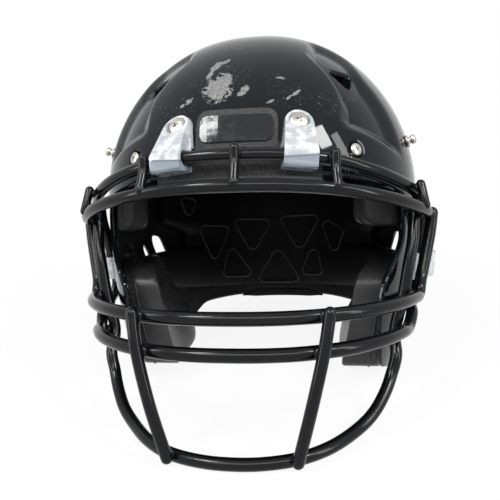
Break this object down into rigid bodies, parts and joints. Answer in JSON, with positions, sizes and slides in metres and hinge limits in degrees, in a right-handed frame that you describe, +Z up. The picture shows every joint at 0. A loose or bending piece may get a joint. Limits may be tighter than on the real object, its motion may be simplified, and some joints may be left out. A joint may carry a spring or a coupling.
{
  "type": "football helmet",
  "caption": "Hard shell football helmet with a welded wire face guard on clear clips, rubber bumpers, chin strap studs, padded lining and snap-in jaw pads.",
  "frame": {"origin": "centre of the bounding box at its base, on the surface the helmet stands on", "axes": "+X to the wearer's left, +Y to the back of the head, so the face looks along -Y, and +Z up; the helmet stands leaned back on its chin wire and the rear corners of its shell"},
  "size_m": [0.2477, 0.3335, 0.2426],
  "materials": {
    "shell": "moulded gloss black, scuffed",
    "guard_wire": "glossy black coated steel wire",
    "clear_clip": "clear moulded plastic",
    "bumper_rubber": "fine grained black rubber",
    "plate": "bare black plate",
    "steel": "nickel plated steel",
    "nut": "plated steel",
    "snap": "moulded snap stud",
    "liner": "soft matt black lining",
    "pad_cover": "smooth black vinyl over foam"
  },
  "bodies": {
    "helmet": {"shell": "shell", "front_bumper": "bumper_rubber", "bumper_plate": "plate", "neck_bumper": "bumper_rubber", "guard_brow_hoop": "guard_wire", "guard_brow_lower": "guard_wire", "guard_mouth_upper": "guard_wire", "guard_mouth_lower": "guard_wire", "guard_chin_wire": "guard_wire", "guard_upright_left": "guard_wire", "guard_upright_right": "guard_wire", "guard_brow_ties": "guard_wire", "front_clip_left": "clear_clip", "front_clip_right": "clear_clip", "side_clip_left": "clear_clip", "side_clip_right": "clear_clip", "front_clip_screws": "steel", "side_clip_screws": "steel", "clip_t_nuts": "nut", "temple_screws": "steel", "chin_strap_studs": "steel", "stud_washers": "nut", "crown_pad": "liner", "front_pad": "pad_cover", "back_liner": "liner", "side_pad_left": "pad_cover", "side_pad_right": "pad_cover", "jaw_pad_snaps": "snap"},
    "jaw_pad_left": {"jaw_pad_left": "pad_cover"},
    "jaw_pad_right": {"jaw_pad_right": "pad_cover"}
  },
  "joints": [
    {"name": "jaw_pad_left_slide", "type": "slide", "parent": "helmet", "child": "jaw_pad_left", "axis": [-1, 0, 0], "range_m": [0, 0.02]},
    {"name": "jaw_pad_right_slide", "type": "slide", "parent": "helmet", "child": "jaw_pad_right", "axis": [1, 0, 0], "range_m": [0, 0.02]}
  ]
}
